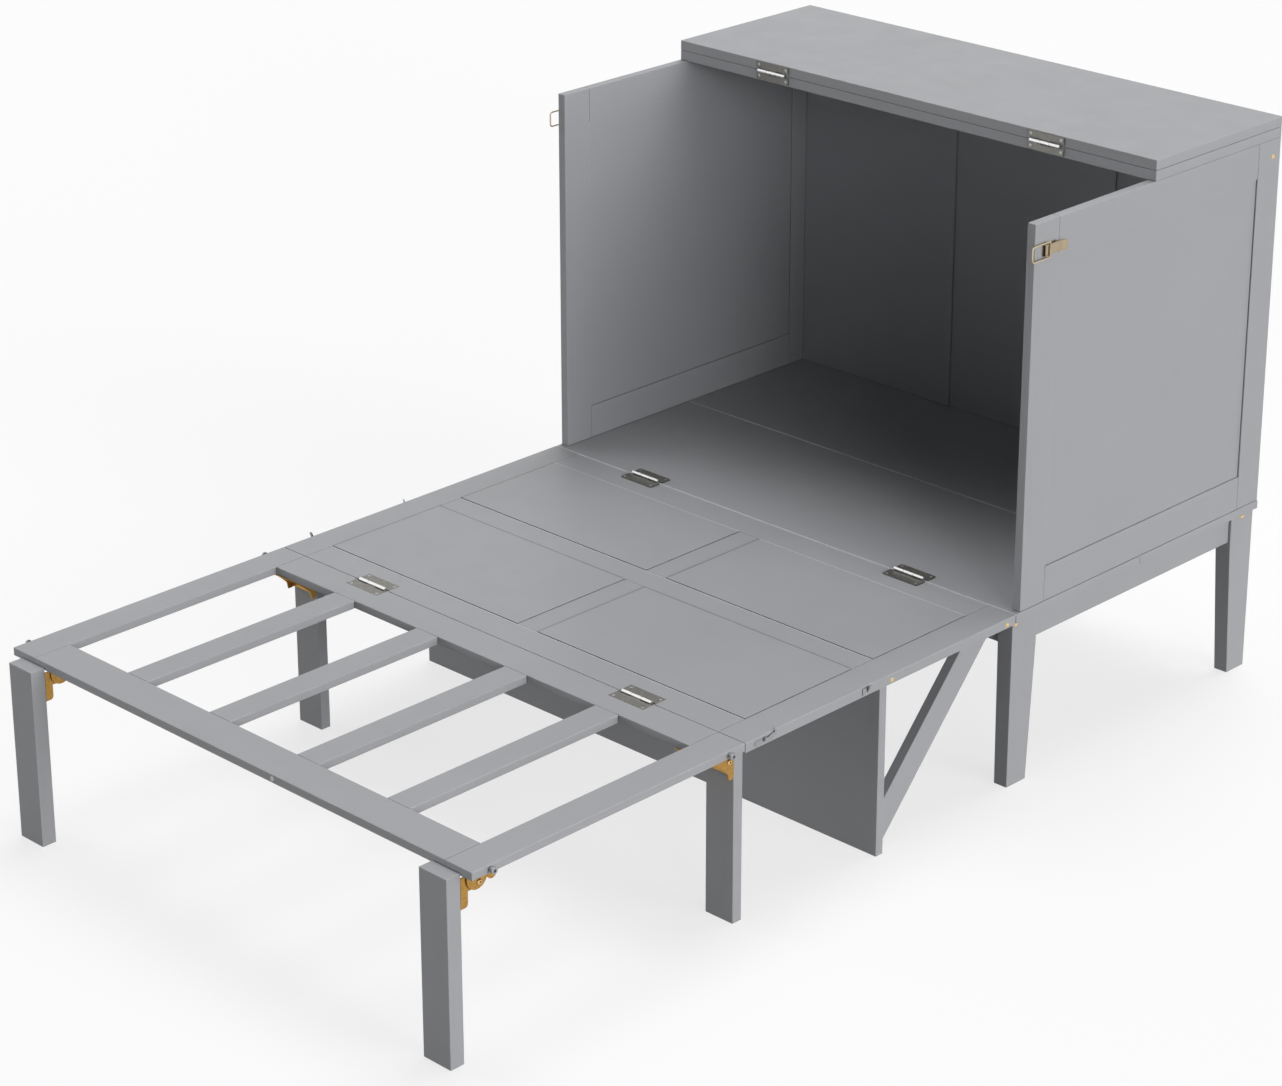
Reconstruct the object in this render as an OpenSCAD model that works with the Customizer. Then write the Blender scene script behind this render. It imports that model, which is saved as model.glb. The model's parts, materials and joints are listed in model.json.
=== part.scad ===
// Cabinet bed: a fixed cabinet with a hinged lid flap, a middle section that lifts to close
// the cabinet as its door, and a foot section that folds back onto the middle section.
// Lengths are millimetres. x runs across the bed, y from the foot towards the cabinet's back,
// z up from the floor. The hinge line between cabinet and middle section is drawn at y = 0
// and the whole bed is then moved so that the origin lies under the middle of its outline.

/* [Bed] */
// Width across the sleeping platform
bed_w = 1080; // [1000:10:1400]
// Height of the sleeping platform above the floor
seat_h = 322; // [310:1:350]
// Depth of the fixed cabinet from front to back
base_d = 682; // [650:2:760]
// Length of the middle section, which is also the cabinet's door
mid_l = 655; // [645:1:700]
// Length of the foot section
foot_l = 568; // [545:1:575]
// Gap between sections that lie end to end
fold_gap = 1; // [0.8:0.1:2]
// Gap left between boards of one frame
joint_gap = 0.3; // [0.2:0.05:0.4]

/* [Cabinet base] */
// Thickness of the cabinet's seat boards
slab_t = 15; // [12:0.5:22]
// Depth of the front seat board
front_board_d = 336; // [260:1:400]
// Gap between the two seat boards
board_seam = 0.6; // [0.4:0.1:1]
// Height of the aprons under the seat boards
apron_h = 50; // [30:1:80]
// Thickness of the aprons
apron_t = 18; // [12:0.5:24]
// How far the front and rear aprons stand back from the seat's edge
apron_in = 8; // [4:0.5:14]
// How far the side aprons stand back from the legs' outer faces
apron_side_in = 5; // [2:0.5:8]
// How far the cabinet legs stand in from the sides of the seat
leg_side_in = 8; // [4:0.5:14]
// How far the cabinet legs stand in from the front and rear edges
leg_end_in = 2; // [1:0.5:6]
// Width of a cabinet leg at its top
leg_w = 31; // [26:1:45]
// Depth of a cabinet leg at its top
leg_d = 64; // [50:1:80]
// Width of a cabinet leg at the floor
leg_foot_w = 27; // [18:1:31]
// Depth of a cabinet leg at the floor
leg_foot_d = 50; // [36:1:64]
// Height of the straight part at the top of a cabinet leg
leg_straight = 60; // [50:1:100]

/* [Cabinet walls] */
// How far the walls stand in from the sides of the seat
wall_in = 2; // [0:0.5:6]
// Thickness of the side walls
wall_t = 16; // [14:0.5:20]
// Width of the wall frames' stiles and rails
wall_rail = 62; // [45:1:90]
// Thickness of the panels in the side walls
wall_panel_t = 10; // [6:0.5:11]
// Depth of the grooves that hold panels
groove_d = 8; // [5:0.5:10]
// Clearance round a panel in its groove
groove_gap = 0.2; // [0.1:0.05:0.4]
// Height left over the closed door for its hinges
door_gap = 15; // [12:0.5:25]
// Clearance between the folded foot section and the walls' front edges
door_clear = 1; // [0.6:0.1:3]
// Thickness of the back's battens
back_t = 16; // [14:0.5:20]
// How far the back stands in from the cabinet's rear edge
back_in = 10; // [4:1:20]
// Thickness of the back's panels
back_panel_t = 10; // [6:0.5:11]
// Width of the back's battens
batten_w = 66; // [40:1:90]

/* [Lid] */
// Thickness of each of the two lid layers
lid_t = 18; // [15:0.5:22]
// How far the lid stands in from the sides of the seat
lid_in = 2; // [0:0.5:6]
// Depth of the strip along the lid's hinged edge
lid_strip = 44; // [30:1:80]
// How far the unfolded flap reaches over the seat's front edge
lip_over = 35; // [28:1:50]
// Gap between the two lid layers when the flap lies back
lid_gap = 0.4; // [0.3:0.05:1]

/* [Middle section] */
// Thickness of the middle section's frame
mid_t = 17.5; // [15:0.5:20]
// Width of the middle section's side stiles
mid_stile = 57; // [45:1:80]
// Depth of the middle section's front and rear rails
mid_rail = 60; // [45:1:80]
// Depth of the middle cross rail
cross_rail = 50; // [40:1:70]
// Distance of the cross rail's middle from the cabinet
cross_at = 319; // [290:1:350]
// Width of the middle section's mullions
mullion_w = 46; // [30:1:70]
// Thickness of the tongues of the middle section's panels
tongue_t = 6; // [4:0.5:7]
// How far the panels' fields stand up from the frame
panel_proud = 1; // [0.5:0.1:1.5]
// Thickness of the support board under the middle section
board_t = 17; // [14:0.5:24]
// How far the support board stands in from the bed's sides
board_in = 7; // [4:0.5:20]
// Thickness of the two braces
brace_t = 18; // [14:0.5:24]
// How far the braces stand in from the bed's sides
brace_in = 28; // [20:1:50]
// Height of the braces' lower ends
brace_end = 49; // [30:1:70]
// Length of the braces' upper ends, along the platform
brace_top = 66.5; // [45:0.5:90]
// Distance of the braces' upper ends from the cabinet
brace_back = 22.5; // [15:0.5:60]

/* [Foot section] */
// Thickness of the foot section
foot_t = 14; // [12:0.5:16]
// Width of the foot section's side rails
foot_side = 56; // [45:1:80]
// Depth of the foot section's rail at the fold
foot_rear = 64; // [50:1:90]
// Depth of the foot section's rail at the foot end
foot_front = 70; // [50:1:90]
// Width of a slat
slat_w = 50; // [35:1:80]

/* [Folding legs] */
// Width of a folding leg
fleg_w = 58; // [50:1:64]
// Thickness of the legs at the foot end
end_leg_t = 27; // [22:0.5:28]
// Thickness of the legs at the fold
mid_leg_t = 20; // [16:0.5:21]
// Radius of the bolts that the folding legs turn on
pivot_r = 3; // [2.5:0.25:3.5]
// Depth of those bolts below the platform's top
pivot_down = 35; // [34:0.5:36]
// Distance of the end legs' bolts behind the legs' rear faces
end_pivot_back = 34.3; // [32:0.1:38]
// Distance of the other legs' bolts in front of the legs' front faces
mid_pivot_front = 13; // [12:0.5:15]
// Thickness of the sheet of yokes and leg brackets
sheet_t = 2; // [1.5:0.1:2.2]

/* [Hinges] */
// Length of a hinge leaf
leaf_l = 76; // [66:1:100]
// Width of a hinge leaf
leaf_w = 26; // [20:1:30]
// Thickness of a hinge leaf
leaf_t = 1.6; // [1.2:0.1:1.8]
// Length of a hinge barrel
barrel_l = 64; // [50:1:64]
// Radius of a hinge barrel
barrel_r = 3.3; // [3:0.1:3.4]
// Radius of a hinge pin
pin_r = 1.5; // [1:0.1:1.8]
// Radial clearance of pins and bolts in their bores
pin_gap = 0.05; // [0.03:0.01:0.08]
// Height of the lift hinges' pins over the platform
lift_h = 4; // [3.9:0.1:5]
// Distance of the lid hinges' pins from the lid's front faces
lid_off = 3.5; // [3.5:0.1:4.5]

/* [Latches and hooks] */
// Radius of a knob's head
knob_r = 5.5; // [5:0.5:7]
// Height of a knob's head
knob_h = 3.5; // [3:0.5:5]
// Radius of a knob's shank
shank_r = 3.5; // [2.5:0.25:3.5]
// Length of a knob's shank
shank_l = 7; // [6.5:0.5:9]
// Distance of the knobs from the foot section's ends
knob_in = 35.5; // [33:0.5:38]
// How far the hooks turn to let the knobs go
hook_swing = 84; // [80:1:84]
// Radius of the latch bails' wire
wire_r = 1.3; // [1:0.1:1.5]
// Height of the latch levers
lever_h = 17.2; // [14:0.2:18]
// Length of the latch levers
lever_l = 48; // [40:1:56]

/* [Hidden] */

// Overrun of every cut, and the number of sides that rounds are drawn with
over = 1;
round_fn = 48;
small_fn = 24;

// Outline of the bed
half_w = bed_w / 2;
mid_front = -mid_l;
foot_back = -mid_l - fold_gap;
foot_end = foot_back - foot_l;
end_leg_back = foot_end - joint_gap;
end_leg_face = end_leg_back - end_leg_t;
hinge_y = (-end_leg_face - base_d) / 2;

// Pins that the sections turn on
lift_y = -fold_gap / 2;
lift_z = seat_h + lift_h;
fold_y = mid_front - fold_gap / 2;
fold_clear = 0.5;
fold_h = (panel_proud + fold_clear) / 2;
fold_z = seat_h + fold_h;
hinge_share = 0.574;
hinge_x = half_w * hinge_share;

// Where a point of the foot section lies once folded, and where a folded point lies once the
// middle section is lifted, as [y, z]
function folded(p) = [2 * fold_y - p[0], 2 * fold_z - p[1]];
function lifted(p) = [lift_y + p[1] - lift_z, lift_z + lift_y - p[0]];

// Cabinet
slab_z = seat_h - slab_t;
leg_out = half_w - leg_side_in;
apron_out = leg_out - apron_side_in;
apron_z = slab_z - apron_h;
wall_out = half_w - wall_in;
wall_inner = wall_out - wall_t;
wall_front = lift_y - lift_h + 2 * fold_h + foot_t + door_clear;
wall_h = mid_l + door_gap;
wall_top = seat_h + wall_h;
back_y = base_d - back_in;
batten_share = 0.349;
batten_x = wall_inner * batten_share;

// Lid
lid_x = half_w - lid_in;
lid_front = (base_d - lip_over) / 2 + lid_off;
lid_y = lid_front - lid_off;
lid_top = wall_top + lid_t;
lid_z = lid_top + (lid_gap + joint_gap) / 2;
flap_z = lid_top + lid_gap;

// Middle section
mid_z = seat_h - mid_t;
mid_in = half_w - mid_stile;
cross_y = [-cross_at - cross_rail / 2, -cross_at + cross_rail / 2];
mid_bays_y = [[mid_front + mid_rail, cross_y[0]], [cross_y[1], -fold_gap - mid_rail]];
mid_bay_x = [mullion_w / 2, mid_in];
tongue_z = seat_h - mid_t / 2 - tongue_t / 2;
board_shift = 2;
board_y = board_shift - cross_at;
brace_foot = 6;
brace_toe = 22;

// Foot section
foot_z = seat_h - foot_t;
foot_in = half_w - foot_side;
slat_shares = [-0.57, -0.193, 0.193, 0.57];

// Folding legs: across the bed, from the inside outwards
bolt_head_r = 4.5;
bolt_head_h = 2.4;
head_clear = 1.1;
cheek_gap = 0.5;
cheek_out = wall_inner - head_clear - bolt_head_h;
fleg_out = cheek_out - sheet_t - cheek_gap;
fleg_in = fleg_out - fleg_w;
cheek_in = fleg_in - cheek_gap - sheet_t;
nut_h = 2.5;
nut_r = 5;
pivot_z = seat_h - pivot_down;
end_pivot_y = end_leg_back + end_pivot_back;
mid_leg_face = mid_front;
mid_pivot_y = mid_leg_face - mid_pivot_front;
mid_leg_top = mid_z - joint_gap;
end_leg_drop = 10;
end_leg_top = seat_h - end_leg_drop;
ear_r = 9;
yoke_arc_r = 20;
yoke_arc_up = 9;
yoke_arc_fore = 4;
yoke_lobe_r = 9.5;
yoke_lobe_back = 25;
yoke_lobe_up = 5;
yoke_plate_in = 8;
gusset_l = 65;
gusset_h = 53;
gusset_foot = 12;
gusset_hollow = 3;
gusset_step = 14;
gusset_gap = 3;
strap_w = 14;
strap_down = 34;
strap_foot_r = 6;
strap_up = 16;
mid_strap_down = 30;

// Hinges: the barrel is one middle knuckle between two outer ones
knuckle_gap = 0.4;
knuckle_l = (barrel_l - 2 * knuckle_gap) / 3;
barrel_clear = 0.5;
leaf_round = 3;
notch_d = 2;
screw_r = 1.7;
screw_in = 6;
middle_knuckle = [[-knuckle_l / 2, knuckle_l / 2]];
outer_knuckles = [
    [-barrel_l / 2, -knuckle_l / 2 - knuckle_gap],
    [knuckle_l / 2 + knuckle_gap, barrel_l / 2]
];

// Knobs, hooks, and latches
knob_z = seat_h - foot_t / 2;
knob_rows = [foot_back - knob_in, foot_end + knob_in];
caught = folded([knob_rows[0], knob_z]);
knob_closed = lifted(caught);
socket_r = 2.2;
socket_d = 2;
plate_t = 1;
hook_t = 1.8;
hook_gap = 0.2;
hub_r = 4;
hook_pin_r = 1.8;
hook_pin_back = 7;
hook_pin_down = 8;
hook_pin_y = caught[0] + hook_pin_back;
hook_pin_z = seat_h - hook_pin_down;
hook_reach = norm([caught[0] - hook_pin_y, caught[1] - hook_pin_z]);
hook_angle = atan2(hook_pin_y - caught[0], caught[1] - hook_pin_z);
hook_play = 0.4;
lip_start = hook_angle - asin((shank_r + hook_play) / hook_reach);
lip_past = 9;
lip_end = hook_angle + lip_past;
lip_in = hook_reach + shank_r + hook_play;
lip_w = 4;
arm_turn = 13;
hook_plate_l = 42;
hook_plate_h = 9;
hook_plate_share = 0.53;
hook_plate_up = 2.5;
hook_screw_r = 1.6;
hook_screw_down = 2.5;
hook_screw_in = 5;
keeper_l = 21;
keeper_h = 11;
keeper_at = 364;
keeper_out = 6;
keeper_t = 1.5;
bolt_r = 4.2;
bolt_h = 2.4;
latch_t = 1.5;
latch_z = knob_closed[1];
latch_back = 24;
latch_off = 5;
latch_x = wall_out + latch_off;
latch_y = wall_front + latch_back;
latch_pin_r = 1.4;
latch_knuckle_r = 2.7;
latch_ear_gap = 0.2;
bail_out = 1.9;
bail_back = 7;
bail_pivot_x = latch_x + bail_out;
bail_pivot_y = latch_y + bail_back;
bail_eye_r = 2.3;
bail_side_gap = 4.4;
bail_w = lever_h + 2 * bail_side_gap;
bail_corner = 5;
bail_play = 0.7;
bail_y = knob_closed[0] - shank_r - bail_play - wire_r;
lever_t = 2;
lever_curl_r = 14;
lever_curl_angle = 55;

// Box between two corners given as spans along x, y and z
module block(x, y, z) {
    translate([x[0], y[0], z[0]])
        cube([x[1] - x[0], y[1] - y[0], z[1] - z[0]]);
}

// The same on both sides of the bed
module both_sides() {
    children();
    mirror([1, 0, 0]) children();
}

// Moves the bed from the hinge line's frame to its own origin
module stand() {
    translate([0, hinge_y, 0]) children();
}

// An outline drawn as (x, z), made solid along y
module along_y(y) {
    translate([0, y[1], 0])
        rotate([90, 0, 0]) linear_extrude(y[1] - y[0]) children();
}

// An outline drawn as (y, z), made solid along x
module along_x(x) {
    translate([x[0], 0, 0])
        rotate([90, 0, 90]) linear_extrude(x[1] - x[0]) children();
}

// Round bar along x at [y, z]
module bar_x(x, at, r, fn = round_fn) {
    along_x(x) translate(at) circle(r = r, $fn = fn);
}

// Dome head standing on z = 0
module dome(r, h) {
    ball = (r * r + h * h) / (2 * h);
    intersection() {
        translate([0, 0, h - ball]) sphere(r = ball, $fn = round_fn);
        translate([-2 * r, -2 * r, 0]) cube([4 * r, 4 * r, 2 * h]);
    }
}

// Dome head on a side face at x, facing outwards
module side_dome(x, at, r, h) {
    translate([x, at[0], at[1]]) rotate([0, 90, 0]) dome(r, h);
}

// Dome head on a front face at y, facing the foot end
module front_dome(y, at, r, h) {
    translate([at[0], y, at[1]]) rotate([90, 0, 0]) dome(r, h);
}

function arc(r, from, to, steps = 8) =
    [for (i = [0 : steps]) r * [cos(from + (to - from) * i / steps), sin(from + (to - from) * i / steps)]];

function moved(points, by) = [for (p = points) p + by];

// Rectangle between two spans with rounded corners at its high v side
module rounded_end(u, v, r) {
    polygon(concat(
        [[u[0], v[0]], [u[1], v[0]]],
        moved(arc(r, 0, 90), [u[1] - r, v[1] - r]),
        moved(arc(r, 90, 180), [u[0] + r, v[1] - r])
    ));
}

// Cabinet base

module base_front_board() {
    color("lightsteelblue") stand()
        block([-half_w, half_w], [0, front_board_d], [slab_z, seat_h]);
}

module base_rear_board() {
    color("lightsteelblue") stand()
        block([-half_w, half_w], [front_board_d + board_seam, base_d], [slab_z, seat_h]);
}

module base_aprons() {
    inner = apron_out - apron_t;
    between = leg_out - leg_w;
    cross_y0 = front_board_d - apron_t / 2;
    color("slategray") stand() {
        block([-between, between], [apron_in, apron_in + apron_t], [apron_z, slab_z]);
        block([-between, between], [base_d - apron_in - apron_t, base_d - apron_in], [apron_z, slab_z]);
        both_sides()
            block([inner, apron_out], [leg_end_in + leg_d, base_d - leg_end_in - leg_d], [apron_z, slab_z]);
        block([joint_gap - inner, inner - joint_gap], [cross_y0, cross_y0 + apron_t], [apron_z, slab_z]);
    }
}

// One cabinet leg with its outer front corner on the origin's z axis
module tapered_leg() {
    knee = slab_z - leg_straight;
    intersection() {
        along_y([-over, leg_d + over])
            polygon([[0, 0], [0, slab_z], [-leg_w, slab_z], [-leg_w, knee], [-leg_foot_w, 0]]);
        along_x([-leg_w - over, over])
            polygon([[0, 0], [0, slab_z], [leg_d, slab_z], [leg_d, knee], [leg_foot_d, 0]]);
    }
}

module cabinet_legs() {
    color("slategray") stand() both_sides() {
        translate([leg_out, leg_end_in, 0]) tapered_leg();
        translate([leg_out, base_d - leg_end_in, 0]) mirror([0, 1, 0]) tapered_leg();
    }
}

// Side walls: a stile at each end, rails between, and a panel let into grooves

module wall_panel_space(grow) {
    middle = wall_out - wall_t / 2;
    reach = groove_d - groove_gap + grow;
    block(
        [middle - wall_panel_t / 2 - grow, middle + wall_panel_t / 2 + grow],
        [wall_front + wall_rail - reach, base_d - wall_rail + reach],
        [seat_h + wall_rail - reach, wall_top - wall_rail + reach]
    );
}

module wall_frame() {
    front = wall_front + wall_rail;
    rear = base_d - wall_rail;
    difference() {
        union() {
            block([wall_inner, wall_out], [wall_front, front], [seat_h, wall_top]);
            block([wall_inner, wall_out], [rear, base_d], [seat_h, wall_top]);
            block([wall_inner, wall_out], [front + joint_gap, rear - joint_gap], [seat_h, seat_h + wall_rail]);
            block([wall_inner, wall_out], [front + joint_gap, rear - joint_gap], [wall_top - wall_rail, wall_top]);
        }
        wall_panel_space(groove_gap);
    }
}

module right_wall_frame() {
    color("lightsteelblue") stand() wall_frame();
}

module left_wall_frame() {
    color("lightsteelblue") stand() mirror([1, 0, 0]) wall_frame();
}

module right_wall_panel() {
    color("silver") stand() wall_panel_space(0);
}

module left_wall_panel() {
    color("silver") stand() mirror([1, 0, 0]) wall_panel_space(0);
}

// Back: two battens, with three panels let into them and between the walls

module back_panel_spaces(grow) {
    middle = back_y - back_t / 2;
    thick = [middle - back_panel_t / 2 - grow, middle + back_panel_t / 2 + grow];
    high = [seat_h - (grow > 0 ? over : 0), wall_top + (grow > 0 ? over : 0)];
    reach = groove_d - groove_gap + grow;
    inner = batten_x - batten_w / 2 + reach;
    outer = batten_x + batten_w / 2 - reach;
    block([-inner, inner], thick, high);
    both_sides() block([outer, wall_inner - joint_gap], thick, high);
}

module back_battens() {
    color("lightsteelblue") stand() difference() {
        both_sides()
            block([batten_x - batten_w / 2, batten_x + batten_w / 2], [back_y - back_t, back_y], [seat_h, wall_top]);
        back_panel_spaces(groove_gap);
    }
}

module back_panels() {
    color("silver") stand() back_panel_spaces(0);
}

// Lid: a fixed layer on the walls and a flap of the same plan lying on it

module lid_main(z) {
    block([-lid_x, lid_x], [lid_front + lid_strip + joint_gap, base_d], [z, z + lid_t]);
}

module lid_edge(z) {
    block([-lid_x, lid_x], [lid_front, lid_front + lid_strip], [z, z + lid_t]);
}

module lid_board() {
    color("lightsteelblue") stand() lid_main(wall_top);
}

module lid_front_strip() {
    color("silver") stand() lid_edge(wall_top);
}

module flap_board() {
    color("lightsteelblue") stand() lid_main(flap_z);
}

module flap_front_strip() {
    color("silver") stand() lid_edge(flap_z);
}

// Butterfly hinges. A leaf is drawn with its pin along x through the origin, spreading towards
// +y, with its back lying drop below the pin. Its own knuckles are joined to it and it is cut
// back round the other leaf's.

module leaf_outline() {
    difference() {
        rounded_end([-leaf_l / 2, leaf_l / 2], [0, leaf_w], leaf_round);
        for (side = [-1, 1])
            translate([side * (leaf_l / 2 - screw_in), leaf_w - screw_in]) circle(r = screw_r, $fn = small_fn);
    }
}

module hinge_leaf(own, others, drop) {
    ends = barrel_l / 2;
    difference() {
        union() {
            translate([0, 0, -drop]) linear_extrude(leaf_t) leaf_outline();
            for (span = own) bar_x(span, [0, 0], barrel_r);
        }
        for (span = others) {
            bar_x([span[0] - knuckle_gap, span[1] + knuckle_gap], [0, 0], barrel_r + knuckle_gap);
            block([span[0] - knuckle_gap, span[1] + knuckle_gap], [0, barrel_r + notch_d], [-leaf_w, leaf_w]);
        }
        for (side = [-1, 1])
            translate([side * (ends + leaf_l) / 2, 0, 0])
                cube([leaf_l - ends, 2 * barrel_r, 4 * barrel_r], center = true);
        bar_x([-leaf_l, leaf_l], [0, 0], pin_r + pin_gap, small_fn);
    }
}

module hinge_pin() {
    bar_x([-barrel_l / 2, barrel_l / 2], [0, 0], pin_r, small_fn);
}

module at_hinges(y, z) {
    for (side = [-1, 1])
        translate([side * hinge_x, y, z]) children();
}

module base_hinge_leaves() {
    color("dimgray") stand() at_hinges(lift_y, lift_z)
        hinge_leaf(outer_knuckles, middle_knuckle, lift_h);
}

module mid_hinge_leaves() {
    color("dimgray") stand() at_hinges(lift_y, lift_z) mirror([0, 1, 0])
        hinge_leaf(middle_knuckle, outer_knuckles, lift_h);
}

module base_hinge_pins() {
    color("gainsboro") stand() at_hinges(lift_y, lift_z) hinge_pin();
}

module fold_hinge_mid_leaves() {
    color("dimgray") stand() at_hinges(fold_y, fold_z)
        hinge_leaf(outer_knuckles, middle_knuckle, fold_h + leaf_t);
}

module fold_hinge_foot_leaves() {
    color("dimgray") stand() at_hinges(fold_y, fold_z) mirror([0, 1, 0])
        hinge_leaf(middle_knuckle, outer_knuckles, fold_h + leaf_t);
}

module fold_hinge_pins() {
    color("gainsboro") stand() at_hinges(fold_y, fold_z) hinge_pin();
}

// The lid's leaves stand on its front faces: the fixed one hangs down, the flap's stands up
module lid_hinge_leaves() {
    color("dimgray") stand() at_hinges(lid_y, lid_z)
        rotate([-90, 0, 0]) mirror([0, 0, 1]) lid_leaf(outer_knuckles, middle_knuckle);
}

module flap_hinge_leaves() {
    color("dimgray") stand() at_hinges(lid_y, lid_z)
        rotate([90, 0, 0]) lid_leaf(middle_knuckle, outer_knuckles);
}

module lid_leaf(own, others) {
    intersection() {
        hinge_leaf(own, others, lid_off);
        translate([-leaf_l, -2 * barrel_r, -2 * lid_off])
            cube([2 * leaf_l, 2 * barrel_r + lid_t - leaf_t, 4 * lid_off]);
    }
}

module lid_hinge_pins() {
    color("gainsboro") stand() at_hinges(lid_y, lid_z) hinge_pin();
}

// Pocket for the let-in leaves and barrels at the fold
module fold_pockets() {
    at_hinges(fold_y, fold_z) {
        bar_x([-barrel_l / 2 - barrel_clear, barrel_l / 2 + barrel_clear], [0, 0], barrel_r + barrel_clear);
        for (flip = [0, 1])
            mirror([0, flip, 0])
                translate([-leaf_l / 2 - groove_gap, 0, -fold_h - leaf_t - groove_gap / 2])
                    cube([leaf_l + 2 * groove_gap, leaf_w + groove_gap, 2 * leaf_t]);
    }
}

// Middle section: a frame of stiles, rails and mullions round four raised panels

module mid_grooves() {
    reach = groove_d;
    for (bay = mid_bays_y)
        both_sides()
            block(
                [mid_bay_x[0] - reach, mid_bay_x[1] + reach],
                [bay[0] - reach, bay[1] + reach],
                [tongue_z - groove_gap, tongue_z + tongue_t + groove_gap]
            );
}

module mid_stiles() {
    color("lightsteelblue") stand() difference() {
        both_sides() block([mid_in, half_w], [mid_front, -fold_gap], [mid_z, seat_h]);
        mid_grooves();
    }
}

module mid_rails() {
    across = [joint_gap - mid_in, mid_in - joint_gap];
    color("lightsteelblue") stand() difference() {
        union() {
            block(across, [-fold_gap - mid_rail, -fold_gap], [mid_z, seat_h]);
            block(across, cross_y, [mid_z, seat_h]);
            block(across, [mid_front, mid_front + mid_rail], [mid_z, seat_h]);
        }
        mid_grooves();
        fold_pockets();
    }
}

module mid_mullions() {
    color("lightsteelblue") stand() difference() {
        for (bay = mid_bays_y)
            block([-mullion_w / 2, mullion_w / 2], [bay[0] + joint_gap, bay[1] - joint_gap], [mid_z, seat_h]);
        mid_grooves();
    }
}

module mid_panels() {
    reach = groove_d - groove_gap;
    color("silver") stand() for (bay = mid_bays_y) both_sides() {
        block(
            [mid_bay_x[0] - reach, mid_bay_x[1] + reach],
            [bay[0] - reach, bay[1] + reach],
            [tongue_z, tongue_z + tongue_t]
        );
        block(
            [mid_bay_x[0] + joint_gap, mid_bay_x[1] - joint_gap],
            [bay[0] + joint_gap, bay[1] - joint_gap],
            [tongue_z, seat_h + panel_proud]
        );
    }
}

module support_board() {
    color("slategray") stand()
        block([board_in - half_w, half_w - board_in], [board_y - board_t, board_y], [0, mid_z]);
}

module board_braces() {
    outer = half_w - brace_in;
    color("slategray") stand() both_sides() along_x([outer - brace_t, outer]) polygon([
        [board_y, brace_foot + brace_end],
        [board_y, brace_foot],
        [board_y + brace_toe, brace_foot],
        [-brace_back, mid_z],
        [-brace_back - brace_top, mid_z]
    ]);
}

// Dome heads of the bolts that hold the board, the braces, and the legs

module mid_bolts() {
    color("goldenrod") stand() both_sides() {
        side_dome(half_w, [board_y + bolt_r, seat_h - mid_t / 2 - bolt_h], bolt_r, bolt_h);
        side_dome(half_w, [-brace_back, seat_h - mid_t / 2 - bolt_h], bolt_r, bolt_h);
    }
}

module cabinet_bolts() {
    low = slab_z - 2 * bolt_r;
    color("goldenrod") stand() both_sides() {
        side_dome(leg_out, [leg_end_in + 2 * bolt_r, low], bolt_r, bolt_h);
        side_dome(leg_out, [base_d - leg_end_in - leg_d / 2, low], bolt_r, bolt_h);
        front_dome(leg_end_in, [leg_out - leg_w / 2, low - bolt_r], bolt_r, bolt_h);
        side_dome(wall_out, [base_d - wall_rail / 3, wall_top - wall_rail / 2], bolt_r, bolt_h);
    }
}

module rail_bolt() {
    color("goldenrod") stand()
        front_dome(foot_end, [half_w * slat_shares[2], seat_h - foot_t / 2], bolt_r, bolt_h);
}

// Small folded keepers on the middle section's edges
module mid_keepers() {
    top = seat_h - bolt_h;
    color("silver") stand() both_sides() {
        block([half_w, half_w + keeper_t], [-keeper_at - keeper_l, -keeper_at], [top - keeper_h, top]);
        along_y([-keeper_at - keeper_l / 2, -keeper_at - keeper_l / 2 + keeper_t]) polygon([
            [half_w + keeper_t / 2, top - keeper_h],
            [half_w + keeper_out, top],
            [half_w + keeper_out, top + keeper_h / 2],
            [half_w + keeper_t / 2, top]
        ]);
    }
}

// Foot section: side rails, end rails, and slats between them

module foot_side_rails() {
    color("lightsteelblue") stand() both_sides()
        block([foot_in, half_w], [foot_end, foot_back], [foot_z, seat_h]);
}

module foot_end_rails() {
    across = [joint_gap - foot_in, foot_in - joint_gap];
    color("lightsteelblue") stand() difference() {
        union() {
            block(across, [foot_back - foot_rear, foot_back], [foot_z, seat_h]);
            block(across, [foot_end, foot_end + foot_front], [foot_z, seat_h]);
        }
        fold_pockets();
    }
}

module foot_slats() {
    along = [foot_end + foot_front + joint_gap, foot_back - foot_rear - joint_gap];
    color("silver") stand() for (share = slat_shares)
        block([share * half_w - slat_w / 2, share * half_w + slat_w / 2], along, [foot_z, seat_h]);
}

module knob() {
    difference() {
        union() {
            cylinder(r = shank_r, h = shank_l + over / 2, $fn = round_fn);
            translate([0, 0, shank_l]) dome(knob_r, knob_h);
        }
        translate([0, 0, shank_l + knob_h - socket_d])
            cylinder(r = socket_r, h = socket_d + over, $fn = 6);
    }
}

module foot_knobs() {
    color("gray") stand() both_sides() for (y = knob_rows)
        translate([half_w, y, knob_z]) rotate([0, 90, 0]) knob();
}

// Yokes of the folding legs: a plate under the rail and a cheek on each side of the leg

// Disc at [y, z] with straight sides up to the rail
module hung_disc(at, r) {
    intersection() {
        union() {
            translate(at) circle(r = r, $fn = round_fn);
            translate([at[0] - r, at[1]]) square([2 * r, foot_z - at[1]]);
        }
        translate([at[0] - 2 * r, at[1] - 2 * r]) square([4 * r, foot_z - at[1] + 2 * r]);
    }
}

module end_cheek() {
    difference() {
        union() {
            hung_disc([end_pivot_y - yoke_arc_fore, pivot_z + yoke_arc_up], yoke_arc_r);
            hung_disc([end_pivot_y + yoke_lobe_back, pivot_z + yoke_lobe_up], yoke_lobe_r);
        }
        translate([end_pivot_y, pivot_z]) circle(r = pivot_r + pin_gap, $fn = round_fn);
    }
}

function bend(a, b, c, t) = (1 - t) * (1 - t) * a + 2 * t * (1 - t) * b + t * t * c;

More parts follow.
